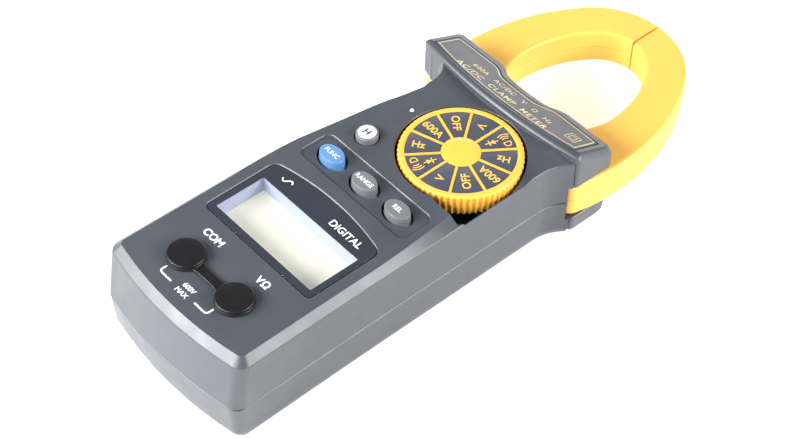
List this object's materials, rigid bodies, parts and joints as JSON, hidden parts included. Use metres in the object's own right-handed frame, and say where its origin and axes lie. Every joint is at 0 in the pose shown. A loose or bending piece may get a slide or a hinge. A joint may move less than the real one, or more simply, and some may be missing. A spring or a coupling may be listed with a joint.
{
  "type": "clamp meter",
  "caption": "Handheld clamp meter with a sprung opening jaw, rotary selector dial, display window, push buttons and plugged test sockets.",
  "frame": {"origin": "centre of the footprint on the table, with the meter lying on its back", "axes": "+X to the right when reading the display, +Y from the grip towards the jaws, +Z out of the display face"},
  "size_m": [0.0736, 0.21, 0.0378],
  "materials": {
    "case_plastic": "satin, fine texture",
    "guard_print": "satin printed overlay",
    "clear_lens": "clear acrylic",
    "lens_bezel": "printed behind the lens",
    "holder_plastic": "moulded",
    "lcd_glass": "liquid crystal panel",
    "pink_rubber": "elastomer connector",
    "circuit_board": "solder mask",
    "black_parts": "moulded",
    "screw_steel": "plated",
    "func_rubber": "satin",
    "button_rubber": "satin",
    "hold_plastic": "satin",
    "jaw_plastic": "satin",
    "dial_print": "satin printed overlay",
    "contact_brass": "machined",
    "black_rubber": "matt",
    "core_iron": "laminated core",
    "battery_can": "wrapped cell"
  },
  "bodies": {
    "case": {"front_case": "case_plastic", "rear_case": "case_plastic", "battery_door": "case_plastic", "guard_label": "guard_print", "display_lens": "clear_lens", "lens_mask": "lens_bezel", "lcd_holder": "holder_plastic", "lcd_panel": "lcd_glass", "zebra_strips": "pink_rubber", "main_pcb": "circuit_board", "pcb_parts": "black_parts", "pcb_screws": "screw_steel", "tact_switches": "black_parts", "buzzer": "black_parts", "detent_balls": "screw_steel", "detent_springs": "screw_steel", "com_jack": "contact_brass", "volt_jack": "contact_brass", "right_jaw_top": "jaw_plastic", "right_jaw_bottom": "jaw_plastic", "right_core": "core_iron", "right_jaw_screws": "screw_steel", "hall_sensors": "black_parts", "jaw_pivot": "screw_steel", "jaw_spring": "screw_steel", "battery": "battery_can", "battery_snap": "black_parts", "door_screw": "screw_steel", "case_screws": "screw_steel"},
    "left_jaw": {"left_jaw_top": "jaw_plastic", "left_jaw_bottom": "jaw_plastic", "left_core": "core_iron", "left_jaw_screws": "screw_steel", "jaw_trigger": "jaw_plastic"},
    "dial": {"dial_knob": "jaw_plastic", "dial_label": "dial_print", "dial_rotor": "holder_plastic", "dial_wipers": "contact_brass", "dial_retainer": "screw_steel"},
    "func_key": {"func_button": "func_rubber"},
    "range_key": {"range_button": "button_rubber"},
    "rel_key": {"rel_button": "button_rubber"},
    "hold_key": {"hold_button": "hold_plastic"},
    "terminal_cap": {"terminal_cover": "black_rubber"}
  },
  "joints": [
    {"name": "jaw_open", "type": "hinge", "parent": "case", "child": "left_jaw", "pos_m": [-0.012, 0.0335, 0.015], "axis": [0, 0, 1], "range_deg": [0, 28], "stiffness_Nm_per_rad": 0.9, "springref_deg": -14.32, "deforming": ["jaw_spring"]},
    {"name": "dial_turn", "type": "hinge", "parent": "case", "child": "dial", "pos_m": [0.0096, 0.0042, 0.032], "axis": [0, 0, 1], "continuous": true},
    {"name": "func_press", "type": "slide", "parent": "case", "child": "func_key", "axis": [0, 0, -1], "range_m": [0, 0.0008], "stiffness_N_per_m": 300},
    {"name": "range_press", "type": "slide", "parent": "case", "child": "range_key", "axis": [0, 0, -1], "range_m": [0, 0.0008], "stiffness_N_per_m": 300},
    {"name": "rel_press", "type": "slide", "parent": "case", "child": "rel_key", "axis": [0, 0, -1], "range_m": [0, 0.0008], "stiffness_N_per_m": 300},
    {"name": "hold_press", "type": "slide", "parent": "case", "child": "hold_key", "axis": [0, 0, -1], "range_m": [0, 0.0008], "stiffness_N_per_m": 300},
    {"name": "terminal_cover_pull", "type": "slide", "parent": "case", "child": "terminal_cap", "axis": [0, 0, 1], "range_m": [0, 0.06]}
  ]
}
